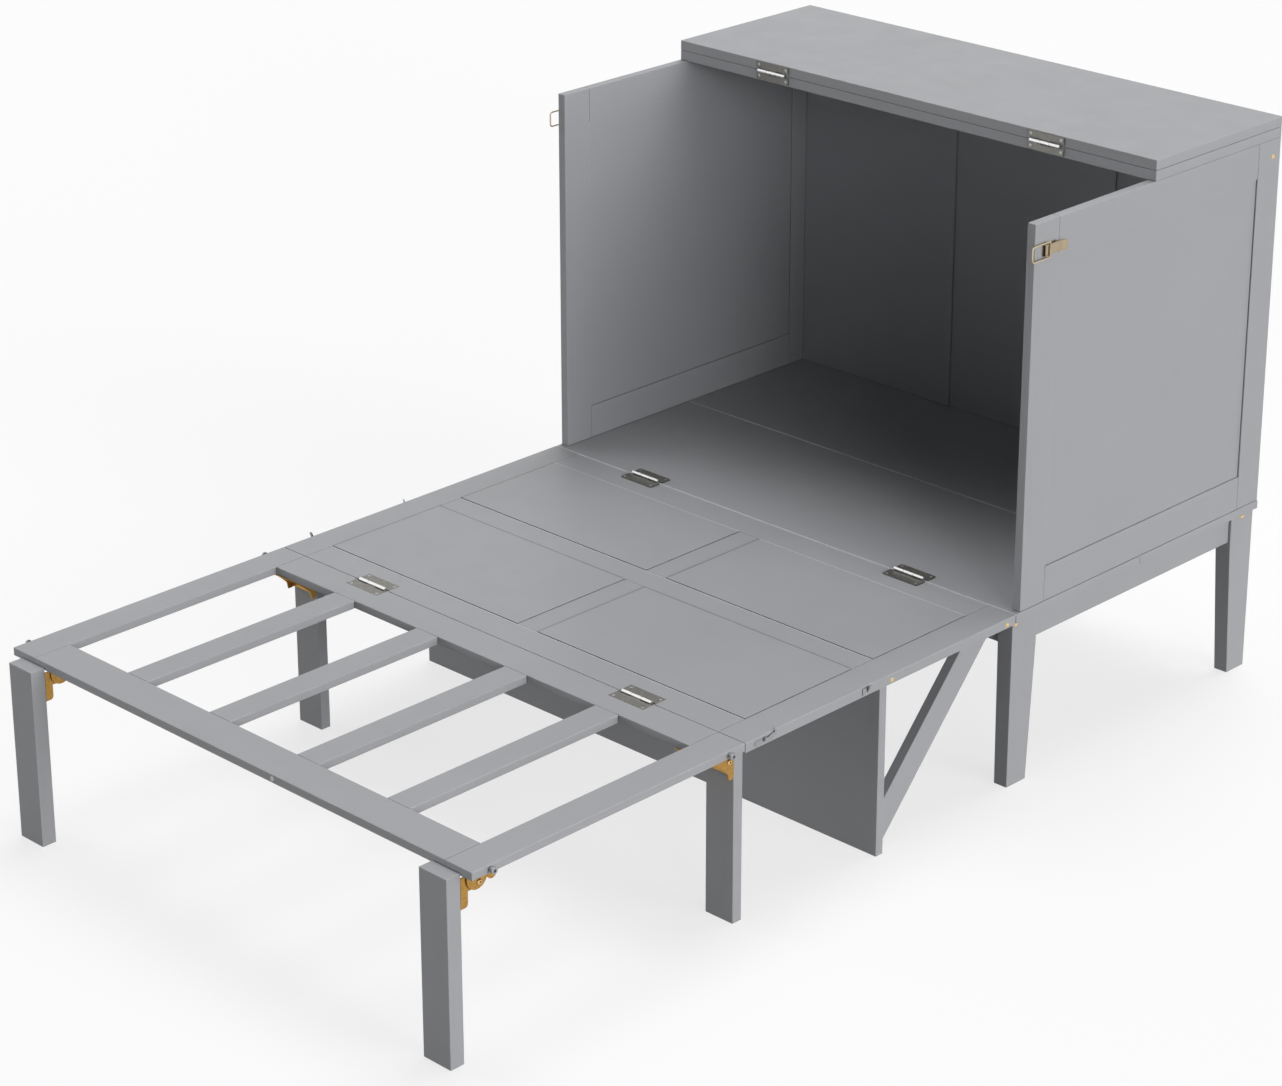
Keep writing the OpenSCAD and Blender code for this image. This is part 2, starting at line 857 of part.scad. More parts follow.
module mid_cheek() {
    front = foot_back - gusset_l;
    low = foot_z - gusset_h;
    tip = [foot_back - gusset_foot - bolt_h, low + gusset_foot];
    top = [front, foot_z - sheet_t];
    knee = (top + tip) / 2 + [gusset_hollow, gusset_hollow];
    step_z = foot_z - gusset_step;
    difference() {
        polygon(concat(
            [[foot_back, foot_z], [front, foot_z]],
            [for (i = [0 : 8]) bend(top, knee, tip, i / 8)],
            [[foot_back - gusset_foot, low], [foot_back - gusset_gap, low]],
            [[foot_back - gusset_gap, step_z - gusset_gap], [foot_back, step_z]]
        ));
        translate([mid_pivot_y, pivot_z]) circle(r = pivot_r + pin_gap, $fn = round_fn);
    }
}

module cheek_pair() {
    along_x([cheek_out - sheet_t, cheek_out]) children();
    along_x([cheek_in, cheek_in + sheet_t]) children();
}

module yoke_plate(y) {
    block([cheek_in, cheek_out], y, [foot_z - sheet_t, foot_z]);
}

module end_leg_yokes() {
    color("goldenrod") stand() both_sides() {
        yoke_plate([end_pivot_y - yoke_arc_r + yoke_plate_in, end_pivot_y + yoke_lobe_back + yoke_lobe_r / 2]);
        cheek_pair() end_cheek();
    }
}

module mid_leg_yokes() {
    color("goldenrod") stand() both_sides() {
        yoke_plate([foot_back - gusset_l, foot_back]);
        cheek_pair() mid_cheek();
    }
}

module yoke_bolts() {
    color("gold") stand() both_sides() for (y = [end_pivot_y, mid_pivot_y]) {
        bar_x([cheek_in - over / 2, cheek_out + over / 2], [y, pivot_z], pivot_r);
        side_dome(cheek_out, [y, pivot_z], bolt_head_r, bolt_head_h);
        bar_x([cheek_in - nut_h, cheek_in], [y, pivot_z], nut_r, 6);
    }
}

// Folding legs, with the brackets that hang them from the yokes' bolts

module end_leg() {
    color("slategray") stand()
        block([fleg_in, fleg_out], [end_leg_face, end_leg_back], [0, end_leg_top]);
}

module mid_leg() {
    color("slategray") stand()
        block([fleg_in, fleg_out], [mid_leg_face, mid_leg_face + mid_leg_t], [0, mid_leg_top]);
}

module end_leg_right() {
    end_leg();
}

module end_leg_left() {
    mirror([1, 0, 0]) end_leg();
}

module mid_leg_right() {
    mid_leg();
}

module mid_leg_left() {
    mirror([1, 0, 0]) mid_leg();
}

module ear_pair() {
    along_x([fleg_out - sheet_t, fleg_out]) children();
    along_x([fleg_in, fleg_in + sheet_t]) children();
}

module end_ear() {
    flat = strap_w - strap_foot_r;
    low = pivot_z - strap_down;
    difference() {
        union() {
            translate([end_pivot_y, pivot_z]) circle(r = ear_r, $fn = round_fn);
            translate([end_leg_back, low + strap_foot_r]) square([strap_w, strap_down - strap_foot_r + strap_up]);
            translate([end_leg_back, low]) square([flat, strap_down]);
            translate([end_leg_back + flat, low + strap_foot_r]) circle(r = strap_foot_r, $fn = round_fn);
            translate([end_leg_back, pivot_z - ear_r]) square([end_pivot_back, 2 * ear_r]);
        }
        translate([end_pivot_y, pivot_z]) circle(r = pivot_r + pin_gap, $fn = round_fn);
    }
}

module end_bracket() {
    color("darkgoldenrod") stand() {
        ear_pair() end_ear();
        block(
            [fleg_in, fleg_out],
            [end_leg_back, end_leg_back + sheet_t],
            [pivot_z - strap_down, pivot_z + strap_up]
        );
    }
}

module mid_ear() {
    difference() {
        union() {
            translate([mid_pivot_y, pivot_z]) circle(r = ear_r, $fn = round_fn);
            translate([mid_leg_face - strap_foot_r, pivot_z - mid_strap_down])
                square([strap_foot_r, mid_strap_down + strap_up]);
            translate([mid_pivot_y, pivot_z - ear_r])
                square([mid_pivot_front, ear_r + strap_up]);
        }
        translate([mid_pivot_y, pivot_z]) circle(r = pivot_r + pin_gap, $fn = round_fn);
    }
}

module mid_bracket() {
    color("darkgoldenrod") stand() {
        ear_pair() mid_ear();
        block(
            [fleg_in, fleg_out],
            [mid_leg_face - sheet_t, mid_leg_face],
            [pivot_z - mid_strap_down, pivot_z + strap_up]
        );
    }
}

module end_bracket_right() {
    end_bracket();
}

module end_bracket_left() {
    mirror([1, 0, 0]) end_bracket();
}

module mid_bracket_right() {
    mid_bracket();
}

module mid_bracket_left() {
    mirror([1, 0, 0]) mid_bracket();
}

// Hooks on the middle section that hold the folded foot section by its knobs

function around_hook(r, angle) = r * [-sin(angle), cos(angle)];

module hook_outline() {
    outer = lip_in + lip_w;
    difference() {
        union() {
            circle(r = hub_r, $fn = round_fn);
            polygon(concat(
                [around_hook(hub_r / 2, lip_start - arm_turn - 90)],
                [for (i = [0 : 4]) around_hook(outer, lip_start - arm_turn * (1 - i / 4))],
                [around_hook(hub_r / 2, lip_start)]
            ));
            polygon(concat(
                [for (i = [0 : 6]) around_hook(outer, lip_start - over + (lip_end - lip_start + over) * i / 6)],
                [for (i = [6 : -1 : 0]) around_hook(lip_in, lip_start - over + (lip_end - lip_start + over) * i / 6)]
            ));
        }
        circle(r = hook_pin_r + pin_gap, $fn = small_fn);
    }
}

module hook() {
    inner = half_w + plate_t + hook_gap;
    color("silver") stand()
        along_x([inner, inner + hook_t])
            translate([hook_pin_y, hook_pin_z]) rotate(-hook_swing) hook_outline();
}

module hook_right() {
    hook();
}

module hook_left() {
    mirror([1, 0, 0]) hook();
}

// Strip with round ends between two spans
module rounded_strip(u, v) {
    r = (v[1] - v[0]) / 2;
    translate([u[0] + r, v[0]]) square([u[1] - u[0] - 2 * r, 2 * r]);
    for (at = [u[0] + r, u[1] - r])
        translate([at, v[0] + r]) circle(r = r, $fn = round_fn);
}

module hook_plates() {
    plate_front = hook_pin_y - hook_plate_share * hook_plate_l;
    plate_y = [plate_front, plate_front + hook_plate_l];
    plate_z = [hook_pin_z + hook_plate_up - hook_plate_h, hook_pin_z + hook_plate_up];
    pin_end = half_w + plate_t + 2 * hook_gap + hook_t;
    color("silver") stand() both_sides() {
        along_x([half_w, half_w + plate_t]) rounded_strip(plate_y, plate_z);
        bar_x([half_w + plate_t / 2, pin_end + plate_t / 2], [hook_pin_y, hook_pin_z], hook_pin_r, small_fn);
        bar_x([pin_end, pin_end + plate_t], [hook_pin_y, hook_pin_z], 1.6 * hook_pin_r, small_fn);
        for (y = [plate_y[0] + hook_screw_in, plate_y[1] - hook_screw_in])
            side_dome(half_w + plate_t, [y, hook_pin_z - hook_screw_down], hook_screw_r, plate_t / 2);
    }
}

// Draw latches on the walls: a plate with two ears, a lever, and a wire bail for the knobs

module latch_ear() {
    difference() {
        union() {
            translate([wall_out, latch_y - 4 * wire_r]) square([latch_off, 8 * wire_r]);
            translate([latch_x, latch_y]) circle(r = 4 * wire_r - latch_off / 5, $fn = round_fn);
        }
        translate([wall_out - latch_off, latch_y - latch_off]) square([latch_off, 2 * latch_off]);
    }
}

module draw_latch_plates() {
    ear_z = lever_h / 2 + latch_ear_gap;
    plate_end = latch_y + 5.6 * latch_off;
    color("tan") stand() both_sides() {
        block(
            [wall_out, wall_out + latch_t],
            [latch_y - latch_off, plate_end],
            [latch_z - ear_z - latch_t, latch_z + ear_z + latch_t]
        );
        for (side = [-1, 1])
            translate([0, 0, latch_z + side * (ear_z + latch_t / 2) - latch_t / 2])
                linear_extrude(latch_t) latch_ear();
        translate([latch_x, latch_y, latch_z - ear_z - latch_t])
            cylinder(r = latch_pin_r, h = 2 * (ear_z + latch_t), $fn = small_fn);
    }
}

module lever_outline() {
    flat = lever_l - lever_curl_r * sin(lever_curl_angle);
    inner = latch_x - lever_t / 2;
    centre = [inner + lever_curl_r, latch_y + flat];
    difference() {
        union() {
            translate([latch_x, latch_y]) circle(r = latch_knuckle_r, $fn = round_fn);
            translate([bail_pivot_x, bail_pivot_y]) circle(r = bail_eye_r, $fn = round_fn);
            polygon(concat(
                [[inner, latch_y], [inner + lever_t, latch_y]],
                moved(arc(lever_curl_r - lever_t, 180, 180 - lever_curl_angle), centre),
                moved(arc(lever_curl_r, 180 - lever_curl_angle, 180), centre)
            ));
        }
        translate([latch_x, latch_y]) circle(r = latch_pin_r + pin_gap, $fn = small_fn);
        translate([bail_pivot_x, bail_pivot_y]) circle(r = wire_r + pin_gap, $fn = small_fn);
    }
}

module latch_lever() {
    color("tan") stand()
        translate([0, 0, latch_z - lever_h / 2]) linear_extrude(lever_h) lever_outline();
}

// The bail is a closed loop of wire: a rod through the lever, two sides, and a front bar
module latch_bail() {
    half = bail_w / 2;
    straight = bail_pivot_y - bail_y - bail_corner;
    color("wheat") stand() translate([bail_pivot_x, 0, latch_z]) {
        translate([0, bail_pivot_y, -half])
            cylinder(r = wire_r, h = 2 * half, $fn = small_fn);
        for (side = [-1, 1]) {
            translate([0, bail_pivot_y, side * half])
                rotate([90, 0, 0]) cylinder(r = wire_r, h = straight, $fn = small_fn);
            translate([0, bail_pivot_y, side * half]) sphere(r = wire_r, $fn = small_fn);
            mirror([0, 0, side < 0 ? 1 : 0])
                translate([0, bail_y + bail_corner, half - bail_corner]) rotate([0, -90, 0])
                    rotate_extrude(angle = -90, $fn = round_fn)
                        translate([bail_corner, 0]) circle(r = wire_r, $fn = small_fn);
        }
        translate([0, bail_y, bail_corner - half])
            cylinder(r = wire_r, h = 2 * (half - bail_corner), $fn = small_fn);
    }
}

module latch_lever_right() {
    latch_lever();
}

module latch_lever_left() {
    mirror([1, 0, 0]) latch_lever();
}

module latch_bail_right() {
    latch_bail();
}

module latch_bail_left() {
    mirror([1, 0, 0]) latch_bail();
}

base_front_board();
base_rear_board();
base_aprons();
cabinet_legs();
left_wall_frame();
left_wall_panel();
right_wall_frame();
right_wall_panel();
back_battens();
back_panels();
lid_board();
lid_front_strip();
lid_hinge_leaves();
lid_hinge_pins();
base_hinge_leaves();
base_hinge_pins();
cabinet_bolts();
draw_latch_plates();
flap_board();
flap_front_strip();
flap_hinge_leaves();
mid_stiles();
mid_rails();
mid_mullions();
mid_panels();
mid_hinge_leaves();
fold_hinge_mid_leaves();
fold_hinge_pins();
support_board();
board_braces();
mid_bolts();
mid_keepers();
hook_plates();
foot_side_rails();
foot_end_rails();
foot_slats();
fold_hinge_foot_leaves();
foot_knobs();
rail_bolt();
end_leg_yokes();
mid_leg_yokes();
yoke_bolts();
end_leg_left();
end_leg_right();
end_bracket_left();
end_bracket_right();
mid_leg_left();
mid_leg_right();
mid_bracket_left();
mid_bracket_right();
latch_lever_left();
latch_lever_right();
latch_bail_left();
latch_bail_right();
hook_left();
hook_right();
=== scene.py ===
import json
from math import cos, hypot, pi, radians, sin

import bmesh
import bpy
from mathutils import Matrix, Vector

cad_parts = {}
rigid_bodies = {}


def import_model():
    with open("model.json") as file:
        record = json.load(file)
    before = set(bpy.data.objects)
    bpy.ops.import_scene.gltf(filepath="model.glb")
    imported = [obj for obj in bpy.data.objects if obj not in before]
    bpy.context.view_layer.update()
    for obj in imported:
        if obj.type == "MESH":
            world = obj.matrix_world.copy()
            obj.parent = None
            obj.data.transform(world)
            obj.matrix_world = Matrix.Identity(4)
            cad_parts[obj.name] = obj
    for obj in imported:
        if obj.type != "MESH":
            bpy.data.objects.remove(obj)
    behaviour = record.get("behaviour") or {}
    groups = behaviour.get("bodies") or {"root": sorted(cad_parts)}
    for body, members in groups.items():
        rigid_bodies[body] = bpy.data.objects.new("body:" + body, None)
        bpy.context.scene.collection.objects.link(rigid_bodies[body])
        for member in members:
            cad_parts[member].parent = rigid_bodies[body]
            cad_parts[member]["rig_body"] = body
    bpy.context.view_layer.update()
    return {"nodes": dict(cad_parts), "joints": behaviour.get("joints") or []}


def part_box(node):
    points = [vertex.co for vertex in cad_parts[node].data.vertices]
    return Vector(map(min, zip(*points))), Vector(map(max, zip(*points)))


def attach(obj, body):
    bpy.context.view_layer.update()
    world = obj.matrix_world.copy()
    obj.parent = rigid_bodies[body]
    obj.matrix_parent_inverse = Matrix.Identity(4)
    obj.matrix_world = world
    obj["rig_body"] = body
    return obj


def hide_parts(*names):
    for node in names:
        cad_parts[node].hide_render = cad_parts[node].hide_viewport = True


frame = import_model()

NODES = frame["nodes"]
BODY = {n: o["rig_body"] for n, o in NODES.items()}
scene = bpy.context.scene


class Mat:
    """A Principled material with short helpers for its nodes."""

    LEAN = (0.04, 0.30)  # how far a rounded normal leans where a rim begins, and where it is full
    FACING = (0.6, 0.9)  # how far a face looks up where a rim may begin, and where it may be full

    def __init__(self, name, **sockets):
        self.m = bpy.data.materials.new(name)
        self.m.use_nodes = True
        self.t = self.m.node_tree
        self.t.nodes.clear()
        out = self.n("OutputMaterial")
        self.b = self.n("BsdfPrincipled")
        self.link(self.b.outputs[0], out.inputs["Surface"])
        for key, value in sockets.items():
            self.b.inputs[key.replace("_", " ")].default_value = value

    def n(self, kind, **values):
        """A node; a value that is none of its attributes goes to the input of that name."""
        node = self.t.nodes.new("ShaderNode" + kind)
        for key, value in values.items():
            if hasattr(node, key):
                setattr(node, key, value)
            else:
                node.inputs[key.replace("_", " ")].default_value = value
        return node

    def link(self, a, b):
        self.t.links.new(a, b)

    def coords(self, scale=(1, 1, 1)):
        tc = self.n("TexCoord")
        mp = self.n("Mapping")
        mp.inputs["Scale"].default_value = scale
        self.link(tc.outputs["Object"], mp.inputs["Vector"])
        return mp.outputs["Vector"]

    def noise(self, vector, scale, detail, rough=0.5):
        nz = self.n("TexNoise", Scale=scale, Detail=detail, Roughness=rough)
        self.link(vector, nz.inputs["Vector"])
        return nz.outputs["Fac"]

    def ranged(self, value, low, high, a=0.3, b=0.7):
        """low where value is a, high where it is b."""
        mr = self.n("MapRange")
        mr.inputs["From Min"].default_value = a
        mr.inputs["From Max"].default_value = b
        mr.inputs["To Min"].default_value = low
        mr.inputs["To Max"].default_value = high
        self.link(value, mr.inputs["Value"])
        return mr.outputs["Result"]

    def ramp(self, value, a, b):
        """Colour a where value is low, b where it is high."""
        rp = self.n("ValToRGB")
        rp.color_ramp.elements[0].position = 0.3
        rp.color_ramp.elements[1].position = 0.7
        rp.color_ramp.elements[0].color = (*a, 1)
        rp.color_ramp.elements[1].color = (*b, 1)
        self.link(value, rp.inputs["Fac"])
        return rp.outputs["Color"]

    def mix(self, fac, a, b):
        mx = self.n("Mix", data_type="RGBA", blend_type="MIX")
        for value, sock in ((fac, mx.inputs["Factor"]), (a, mx.inputs["A"]), (b, mx.inputs["B"])):
            if hasattr(value, "is_output"):
                self.link(value, sock)
            else:
                sock.default_value = value
        return mx.outputs["Result"]

    def bump(self, heights, strength=1.0):
        """heights: (output, distance in metres) pairs, stacked."""
        last = None
        for value, distance in heights:
            bp = self.n("Bump", Strength=strength, Distance=distance)
            self.link(value, bp.inputs["Height"])
            if last is not None:
                self.link(last, bp.inputs["Normal"])
            last = bp.outputs["Normal"]
        self.link(last, self.b.inputs["Normal"])

    def edge(self, radius=0.0012, gain=2.2):
        """0 on flat faces, towards 1 on edges."""
        bv = self.n("Bevel", samples=4, Radius=radius)
        ge = self.n("NewGeometry")
        dp = self.n("VectorMath", operation="DOT_PRODUCT")
        self.link(bv.outputs["Normal"], dp.inputs[0])
        self.link(ge.outputs["Normal"], dp.inputs[1])
        sb = self.n("Math", operation="SUBTRACT")
        sb.inputs[0].default_value = 1.0
        self.link(dp.outputs["Value"], sb.inputs[1])
        ml = self.n("Math", operation="MULTIPLY", use_clamp=True)
        ml.inputs[1].default_value = gain
        self.link(sb.outputs[0], ml.inputs[0])
        return ml.outputs[0]

    def rim(self, radius, way):
        """Towards 1 on upward faces, beside the edges on their side way, in the piece's own axes."""
        bv = self.n("Bevel", samples=4, Radius=radius)
        ge = self.n("NewGeometry")
        own = []
        for output in (bv.outputs["Normal"], ge.outputs["Normal"]):
            tr = self.n("VectorTransform", vector_type="NORMAL", convert_from="WORLD", convert_to="OBJECT")
            self.link(output, tr.inputs[0])
            own.append(tr.outputs[0])
        lean = self.n("VectorMath", operation="DOT_PRODUCT")
        lean.inputs[1].default_value = way
        self.link(own[0], lean.inputs[0])
        flat = self.n("VectorMath", operation="DOT_PRODUCT")
        flat.inputs[1].default_value = (0.0, 0.0, 1.0)
        self.link(own[1], flat.inputs[0])
        both = self.n("Math", operation="MULTIPLY", use_clamp=True)
        self.link(self.ranged(lean.outputs["Value"], 0.0, 1.0, *self.LEAN), both.inputs[0])
        self.link(self.ranged(flat.outputs["Value"], 0.0, 1.0, *self.FACING), both.inputs[1])
        return both.outputs[0]

    def crevice(self, reach, low, high):
        """1 deep in seams and inner corners, 0 on open faces."""
        ao = self.n("AmbientOcclusion", samples=6, Distance=reach)
        return self.ranged(ao.outputs["AO"], 1.0, 0.0, low, high)


def scaled(colour, share):
    """A colour times a share, no lighter than white."""
    return tuple(min(1.0, c * share) for c in colour)


# Painted boards: colours of dust specks and of the painted shade in seams, how dark a painted shade line
# is as a share of the paint, and in metres how far rims of painted highlight, shade lines and seam shade
# reach from their edge.
SPECK, SEAM_SHADE_COLOUR, LINE_SHARE = (0.62, 0.63, 0.64, 1), (0.045, 0.046, 0.048, 1), 0.28
RIM_REACH, LINE_REACH, SEAM_SHADE_REACH = 0.0046, 0.0058, 0.0026
REARWARD = (0, 1, 0)


def painted(name, colour, edge_light_share=1.75, rim=None, line=None):
    """Satin sprayed paint: faint mottling, orange peel and dust specks, with painted light and shade: a
    painted highlight along the edges and painted shade in seams and inner corners.

    worn is how much lighter than the paint its edges are, a painted highlight, or darker where it is
    below 1, painted shade; rim is how much lighter its rear rim is, a painted highlight; line is the side
    on which a line of painted shade runs.
    """
    k = Mat(name, Specular_IOR_Level=0.3)
    v = k.coords()
    mottle = k.noise(v, 5.0, 3)
    base = k.ramp(mottle, scaled(colour, 0.98), scaled(colour, 1.02))
    specks = k.ranged(k.noise(v, 700.0, 1), 0.0, 0.03, 0.62, 0.8)
    base = k.mix(specks, base, SPECK)
    # Painted highlight along the eased edges, or painted shade where their share is below 1.
    base = k.mix(k.ranged(k.edge(), 0.0, 0.55, 0.0, 1.0), base, (*scaled(colour, edge_light_share), 1))
    # Painted highlight: a lighter rim along the rear edges of upward faces.
    if rim:
        base = k.mix(k.rim(RIM_REACH, REARWARD), base, (*scaled(colour, rim), 1))
    # Painted shade: a dark line along the edges on the given side.
    if line:
        base = k.mix(k.rim(LINE_REACH, line), base, (*scaled(colour, LINE_SHARE), 1))
    # Painted shade: darker in seams and inner corners, where ambient occlusion is deep.
    seam = k.crevice(SEAM_SHADE_REACH, 0.30, 0.75)
    base = k.mix(k.ranged(seam, 0.0, 0.85, 0.0, 1.0), base, SEAM_SHADE_COLOUR)
    k.link(base, k.b.inputs["Base Color"])
    k.link(k.ranged(k.noise(v, 22.0, 4), 0.40, 0.52), k.b.inputs["Roughness"])
    orange_peel, waviness = (k.noise(v, 420.0, 2), 0.00006), (k.noise(v, 45.0, 2), 0.00010)
    k.bump([orange_peel, waviness], 0.6)
    return k.m


SEAM_SHADE_SHARE = 0.12  # how dark metal is in its seams, as a share of its colour


def metal(name, colour, rough, brush=(1, 1, 1), grain=900.0, shade=0.12, bump=0.00005):
    """Metal with a drawn finish, along the axis whose share in brush is small, or a tumbled one."""
    k = Mat(name, Metallic=1.0)
    fine = k.noise(k.coords(brush), grain, 2, 0.6)
    slow = k.noise(k.coords(), 160.0, 3)
    dark = scaled(colour, 1 - shade)
    base = k.ramp(fine, dark, scaled(colour, 1 + shade))
    base = k.mix(k.ranged(slow, 0.0, 0.5), base, (*dark, 1))
    # Painted shade: darker in seams and inner corners, where ambient occlusion is deep.
    seam = k.crevice(0.004, 0.25, 0.80)
    base = k.mix(k.ranged(seam, 0.0, 0.8, 0.0, 1.0), base, (*scaled(colour, SEAM_SHADE_SHARE), 1))
    k.link(base, k.b.inputs["Base Color"])
    k.link(k.ranged(slow, rough - 0.06, rough + 0.08), k.b.inputs["Roughness"])
    k.bump([(fine, bump)], 0.7)
    return k.m


GREY = (0.357, 0.362, 0.378)
PAINT = painted("painted_wood", GREY)
# Paint with a painted highlight along the rear rim of its upward faces.
PAINT_REAR_HIGHLIGHT = painted("painted_wood_rear_highlight", GREY, rim=1.9)
# Panel paint: painted shade along the eased edges and a line of painted shade along the left and rear
# edges; the rear panels have a painted highlight along the rear rim and the shade line on the left only.
PANEL = painted("painted_panel", GREY, edge_light_share=0.35, line=(-1, 1, 0))
PANEL_REAR_HIGHLIGHT = painted("painted_panel_rear_highlight", GREY, edge_light_share=0.35, rim=1.8, line=(-1, 0, 0))
# A painted highlight on the eased front edge of the seat boards.
FRONT_EDGE_HIGHLIGHT = painted("painted_front_edge_highlight", (0.66, 0.67, 0.69))
# Painted shade on the panels' thin side faces: dark to the front and rear, half dark to the sides.
SHADE = painted("painted_shade_front_rear", (0.075, 0.077, 0.081))
HALF_SHADE = painted("painted_half_shade_sides", (0.22, 0.223, 0.23))
LEAF = metal("hinge_steel", (0.215, 0.21, 0.193), 0.44, brush=(0.3, 1, 1), grain=700.0, shade=0.22)
# The barrels and pins get a much lighter copy of the hinges' steel than the leaves: a painted sheen on the
# round barrel.
BARREL = metal(
    "barrel_steel_painted_sheen", (0.86, 0.86, 0.85), 0.28, brush=(1, 0.2, 0.2), grain=1200.0, shade=0.05, bump=0.00001
)
ZINC = metal("zinc_steel", (0.36, 0.36, 0.37), 0.34, shade=0.10)
SCREW = metal("screw_steel", (0.52, 0.51, 0.49), 0.30, shade=0.10)
BRASS = metal("bolt_brass", (0.74, 0.52, 0.24), 0.22, shade=0.08)
GOLD = metal("bracket_gold", (0.46, 0.26, 0.068), 0.36, grain=420.0, shade=0.28)
BRONZE = metal("latch_bronze", (0.44, 0.355, 0.24), 0.34, brush=(1, 0.3, 1), shade=0.12)
WIRE = metal("wire_bronze", (0.60, 0.49, 0.33), 0.24, shade=0.10)

# Easing a CAD node's edges: points closer than WELD are one, faces nearer than LEVEL are one flat face.
WELD, LEVEL = 2e-6, radians(1.0)


def soften(node, radius, seg=2, angle=30, wide=0.0028, materials=(PAINT,), choose=None, keep=None):
    """A copy of a CAD node's mesh with its outer edges eased, which stands for the node.

    Only edges between faces wider than wide are eased, and none that keep chooses; choose gives each
    face the number of its material.
    """
    me = NODES[node].data.copy()
    me.materials.clear()
    for m in materials:
        me.materials.append(m)
    bm = bmesh.new()
    bm.from_mesh(me)
    bmesh.ops.remove_doubles(bm, verts=bm.verts, dist=WELD)
    for f in bm.faces:
        f.material_index = 0
        f.smooth = False
    bmesh.ops.dissolve_limit(
        bm, angle_limit=LEVEL, use_dissolve_boundaries=False, verts=bm.verts[:], edges=bm.edges[:]
    )

    def broad(f):
        return f.calc_area() / max(e.calc_length() for e in f.edges) > wide

    edges = [
        e
        for e in bm.edges
        if len(e.link_faces) == 2
        and e.calc_face_angle_signed() > radians(angle)
        and all(broad(f) for f in e.link_faces)
        and not (keep and keep(e))
    ]
    bmesh.ops.bevel(
        bm, geom=edges, offset=radius, offset_type="OFFSET", segments=seg, profile=0.5,
        affect="EDGES", clamp_overlap=True, material=-1,
    )
    if choose:
        for f in bm.faces:
            f.material_index = choose(f)
    bm.to_mesh(me)
    bm.free()
    obj = bpy.data.objects.new("eased_" + node, me)
    scene.collection.objects.link(obj)
    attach(obj, BODY[node])
    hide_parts(node)
    return obj


BOARDS = [
    "base_front_board", "base_rear_board", "base_aprons", "cabinet_legs", "left_wall_frame",
    "right_wall_frame", "back_battens", "lid_board", "lid_front_strip", "flap_board",
    "flap_front_strip", "mid_stiles", "mid_rails", "mid_mullions", "mid_panels", "support_board",
    "board_braces", "foot_side_rails", "foot_end_rails", "foot_slats", "end_leg_left",
    "end_leg_right", "mid_leg_left", "mid_leg_right",
]

SAME_PLACE = 0.0002


def butted(node, other):
    """Chooses the edges of a board's face that is glued against another board, which stay sharp."""
    (_, near, _), (_, far, _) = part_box(node)
    (_, other_near, _), (_, other_far, _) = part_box(other)
    y = near if abs(near - other_far) < abs(far - other_near) else far
    return lambda e: all(abs(v.co.y - y) < SAME_PLACE for v in e.verts)


GLUED = {
    "lid_board": "lid_front_strip", "lid_front_strip": "lid_board",
    "flap_board": "flap_front_strip", "flap_front_strip": "flap_board",
}
# Boards with a painted highlight along their rear rim, and boards with a painted highlight on their eased
# front edge.
REAR_HIGHLIGHT_BOARDS = ("mid_rails", "base_front_board")
HIGHLIT_FRONT_BOARDS = ("base_front_board", "base_rear_board")
PANEL_EASE, BOARD_EASE, HIGHLIT_FRONT_EASE = 0.0002, 0.0009, 0.0013


def front_chamfer(f):
    """Chooses the eased edge between a board's top and its front, for the painted highlight."""
    return int(f.normal.y < -0.2 and f.normal.z > 0.2)


def panel_face(f):
    """Material 0 on a front panel's top, 1 on a rear one's, 2 on faces to front or rear, 3 to the sides;
    2 and 3 are painted shade.
    """
    if abs(f.normal.z) < 0.5:
        return 2 if abs(f.normal.y) > 0.5 else 3
    return int(f.calc_center_median().y > MID_RAIL_Y)


(_, front, _), (_, rear, _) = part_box("mid_panels")
MID_RAIL_Y = (front + rear) / 2
for name in BOARDS:
    paint = PAINT_REAR_HIGHLIGHT if name in REAR_HIGHLIGHT_BOARDS else PAINT
    if name == "mid_panels":
        finishes = (PANEL, PANEL_REAR_HIGHLIGHT, SHADE, HALF_SHADE)
        piece = soften(name, PANEL_EASE, seg=1, materials=finishes, choose=panel_face)
    elif name in HIGHLIT_FRONT_BOARDS:
        piece = soften(name, HIGHLIT_FRONT_EASE, materials=(paint, FRONT_EDGE_HIGHLIGHT), choose=front_chamfer)
    else:
        keep = butted(name, GLUED[name]) if name in GLUED else None
        piece = soften(name, BOARD_EASE, materials=(paint,), keep=keep)

# The butterfly hinges, in metres: their barrels' radius with some slack, their leaves' thickness,
# length and width, how far to each side they sit, and how far in from a leaf's edges its screws are.
AXES = {j["name"]: j["pos_m"][1:] for j in frame["joints"]}
BARREL_R, BARREL_SLACK = 0.0033, 0.0001
LEAF_T, LEAF_L, LEAF_W = 0.0016, 0.076, 0.026
HINGE_X, SCREW_IN = 0.30996, 0.006
LEAF_EASE, LEAF_WIDE = 0.0003, 0.0012


def round_axis(joint):
    """Chooses a hinge leaf's barrel: the faces that lie close round the joint's axis, which get the painted
    sheen.
    """
    y, z = AXES[joint]

    def near(f):
        middle = f.calc_center_median()
        return int(hypot(middle.y - y, middle.z - z) < BARREL_R + BARREL_SLACK)

    return near


LEAVES = {
    "lid_hinge_leaves": "lid_fold", "flap_hinge_leaves": "lid_fold",
    "base_hinge_leaves": "mid_lift", "mid_hinge_leaves": "mid_lift",
    "fold_hinge_mid_leaves": "foot_fold", "fold_hinge_foot_leaves": "foot_fold",
}
for name, joint in LEAVES.items():
    piece = soften(
        name, LEAF_EASE, seg=1, wide=LEAF_WIDE, materials=(LEAF, BARREL), choose=round_axis(joint)
    )

